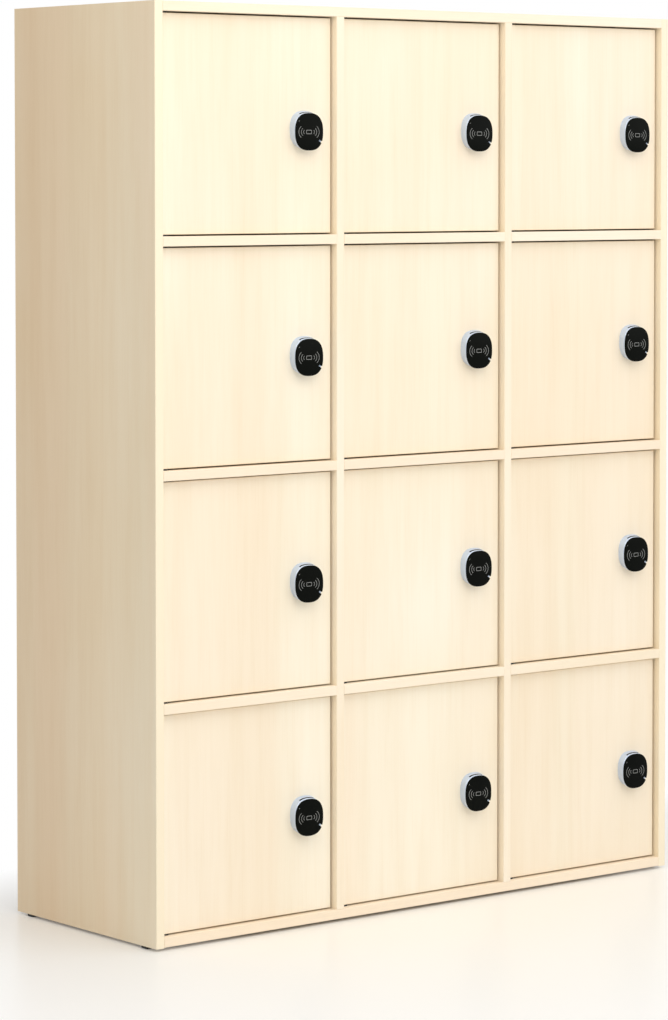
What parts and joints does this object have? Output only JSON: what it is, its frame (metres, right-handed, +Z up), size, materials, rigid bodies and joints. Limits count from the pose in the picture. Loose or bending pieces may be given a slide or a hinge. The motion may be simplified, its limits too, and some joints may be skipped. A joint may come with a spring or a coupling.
{
  "type": "locker cabinet",
  "caption": "Free-standing board locker with inset doors on pin pivots, each with an oval card lock on its front and a deadbolt behind.",
  "frame": {"origin": "under the middle of the whole cabinet, on the floor", "axes": "+X to the right seen from the front, -Y out of the front, +Z up"},
  "size_m": [1.272, 0.448, 1.71],
  "materials": {
    "maple_side": "matt maple foil, vertical grain",
    "maple_carcass": "matt maple foil with edge band",
    "maple_door": "matt maple foil, vertical grain",
    "maple_back": "matt maple foil on thin board",
    "lock_black": "glossy black face on a light grey housing",
    "zinc_plate": "bright zinc plate",
    "black_nylon": "black moulded nylon",
    "black_glide": "black moulded plastic"
  },
  "bodies": {
    "carcass": {"left_side": "maple_side", "right_side": "maple_side", "top_panel": "maple_carcass", "bottom_panel": "maple_carcass", "left_partition": "maple_carcass", "right_partition": "maple_carcass", "shelf_r1c1": "maple_carcass", "shelf_r1c2": "maple_carcass", "shelf_r1c3": "maple_carcass", "shelf_r2c1": "maple_carcass", "shelf_r2c2": "maple_carcass", "shelf_r2c3": "maple_carcass", "shelf_r3c1": "maple_carcass", "shelf_r3c2": "maple_carcass", "shelf_r3c3": "maple_carcass", "back_panel": "maple_back", "pivot_bearings": "black_nylon", "bolt_keepers": "zinc_plate", "floor_glides": "black_glide"},
    "door_leaf_r1c1": {"door_r1c1": "maple_door", "door_fittings_r1c1": "lock_black"},
    "deadbolt_r1c1": {"lock_bolt_r1c1": "zinc_plate"},
    "door_leaf_r1c2": {"door_r1c2": "maple_door", "door_fittings_r1c2": "lock_black"},
    "deadbolt_r1c2": {"lock_bolt_r1c2": "zinc_plate"},
    "door_leaf_r1c3": {"door_r1c3": "maple_door", "door_fittings_r1c3": "lock_black"},
    "deadbolt_r1c3": {"lock_bolt_r1c3": "zinc_plate"},
    "door_leaf_r2c1": {"door_r2c1": "maple_door", "door_fittings_r2c1": "lock_black"},
    "deadbolt_r2c1": {"lock_bolt_r2c1": "zinc_plate"},
    "door_leaf_r2c2": {"door_r2c2": "maple_door", "door_fittings_r2c2": "lock_black"},
    "deadbolt_r2c2": {"lock_bolt_r2c2": "zinc_plate"},
    "door_leaf_r2c3": {"door_r2c3": "maple_door", "door_fittings_r2c3": "lock_black"},
    "deadbolt_r2c3": {"lock_bolt_r2c3": "zinc_plate"},
    "door_leaf_r3c1": {"door_r3c1": "maple_door", "door_fittings_r3c1": "lock_black"},
    "deadbolt_r3c1": {"lock_bolt_r3c1": "zinc_plate"},
    "door_leaf_r3c2": {"door_r3c2": "maple_door", "door_fittings_r3c2": "lock_black"},
    "deadbolt_r3c2": {"lock_bolt_r3c2": "zinc_plate"},
    "door_leaf_r3c3": {"door_r3c3": "maple_door", "door_fittings_r3c3": "lock_black"},
    "deadbolt_r3c3": {"lock_bolt_r3c3": "zinc_plate"},
    "door_leaf_r4c1": {"door_r4c1": "maple_door", "door_fittings_r4c1": "lock_black"},
    "deadbolt_r4c1": {"lock_bolt_r4c1": "zinc_plate"},
    "door_leaf_r4c2": {"door_r4c2": "maple_door", "door_fittings_r4c2": "lock_black"},
    "deadbolt_r4c2": {"lock_bolt_r4c2": "zinc_plate"},
    "door_leaf_r4c3": {"door_r4c3": "maple_door", "door_fittings_r4c3": "lock_black"},
    "deadbolt_r4c3": {"lock_bolt_r4c3": "zinc_plate"}
  },
  "joints": [
    {"name": "door_r1c1_pivot", "type": "hinge", "parent": "carcass", "child": "door_leaf_r1c1", "pos_m": [-0.606, -0.201, 1.49025], "axis": [0, 0, -1], "range_deg": [0, 100]},
    {"name": "bolt_r1c1_throw", "type": "slide", "parent": "door_leaf_r1c1", "child": "deadbolt_r1c1", "axis": [1, 0, 0], "range_m": [0, 0.009]},
    {"name": "door_r1c2_pivot", "type": "hinge", "parent": "carcass", "child": "door_leaf_r1c2", "pos_m": [-0.188, -0.201, 1.49025], "axis": [0, 0, -1], "range_deg": [0, 100]},
    {"name": "bolt_r1c2_throw", "type": "slide", "parent": "door_leaf_r1c2", "child": "deadbolt_r1c2", "axis": [1, 0, 0], "range_m": [0, 0.009]},
    {"name": "door_r1c3_pivot", "type": "hinge", "parent": "carcass", "child": "door_leaf_r1c3", "pos_m": [0.23, -0.201, 1.49025], "axis": [0, 0, -1], "range_deg": [0, 100]},
    {"name": "bolt_r1c3_throw", "type": "slide", "parent": "door_leaf_r1c3", "child": "deadbolt_r1c3", "axis": [1, 0, 0], "range_m": [0, 0.009]},
    {"name": "door_r2c1_pivot", "type": "hinge", "parent": "carcass", "child": "door_leaf_r2c1", "pos_m": [-0.606, -0.201, 1.06875], "axis": [0, 0, -1], "range_deg": [0, 100]},
    {"name": "bolt_r2c1_throw", "type": "slide", "parent": "door_leaf_r2c1", "child": "deadbolt_r2c1", "axis": [1, 0, 0], "range_m": [0, 0.009]},
    {"name": "door_r2c2_pivot", "type": "hinge", "parent": "carcass", "child": "door_leaf_r2c2", "pos_m": [-0.188, -0.201, 1.06875], "axis": [0, 0, -1], "range_deg": [0, 100]},
    {"name": "bolt_r2c2_throw", "type": "slide", "parent": "door_leaf_r2c2", "child": "deadbolt_r2c2", "axis": [1, 0, 0], "range_m": [0, 0.009]},
    {"name": "door_r2c3_pivot", "type": "hinge", "parent": "carcass", "child": "door_leaf_r2c3", "pos_m": [0.23, -0.201, 1.06875], "axis": [0, 0, -1], "range_deg": [0, 100]},
    {"name": "bolt_r2c3_throw", "type": "slide", "parent": "door_leaf_r2c3", "child": "deadbolt_r2c3", "axis": [1, 0, 0], "range_m": [0, 0.009]},
    {"name": "door_r3c1_pivot", "type": "hinge", "parent": "carcass", "child": "door_leaf_r3c1", "pos_m": [-0.606, -0.201, 0.64725], "axis": [0, 0, -1], "range_deg": [0, 100]},
    {"name": "bolt_r3c1_throw", "type": "slide", "parent": "door_leaf_r3c1", "child": "deadbolt_r3c1", "axis": [1, 0, 0], "range_m": [0, 0.009]},
    {"name": "door_r3c2_pivot", "type": "hinge", "parent": "carcass", "child": "door_leaf_r3c2", "pos_m": [-0.188, -0.201, 0.64725], "axis": [0, 0, -1], "range_deg": [0, 100]},
    {"name": "bolt_r3c2_throw", "type": "slide", "parent": "door_leaf_r3c2", "child": "deadbolt_r3c2", "axis": [1, 0, 0], "range_m": [0, 0.009]},
    {"name": "door_r3c3_pivot", "type": "hinge", "parent": "carcass", "child": "door_leaf_r3c3", "pos_m": [0.23, -0.201, 0.64725], "axis": [0, 0, -1], "range_deg": [0, 100]},
    {"name": "bolt_r3c3_throw", "type": "slide", "parent": "door_leaf_r3c3", "child": "deadbolt_r3c3", "axis": [1, 0, 0], "range_m": [0, 0.009]},
    {"name": "door_r4c1_pivot", "type": "hinge", "parent": "carcass", "child": "door_leaf_r4c1", "pos_m": [-0.606, -0.201, 0.22575], "axis": [0, 0, -1], "range_deg": [0, 100]},
    {"name": "bolt_r4c1_throw", "type": "slide", "parent": "door_leaf_r4c1", "child": "deadbolt_r4c1", "axis": [1, 0, 0], "range_m": [0, 0.009]},
    {"name": "door_r4c2_pivot", "type": "hinge", "parent": "carcass", "child": "door_leaf_r4c2", "pos_m": [-0.188, -0.201, 0.22575], "axis": [0, 0, -1], "range_deg": [0, 100]},
    {"name": "bolt_r4c2_throw", "type": "slide", "parent": "door_leaf_r4c2", "child": "deadbolt_r4c2", "axis": [1, 0, 0], "range_m": [0, 0.009]},
    {"name": "door_r4c3_pivot", "type": "hinge", "parent": "carcass", "child": "door_leaf_r4c3", "pos_m": [0.23, -0.201, 0.22575], "axis": [0, 0, -1], "range_deg": [0, 100]},
    {"name": "bolt_r4c3_throw", "type": "slide", "parent": "door_leaf_r4c3", "child": "deadbolt_r4c3", "axis": [1, 0, 0], "range_m": [0, 0.009]}
  ]
}
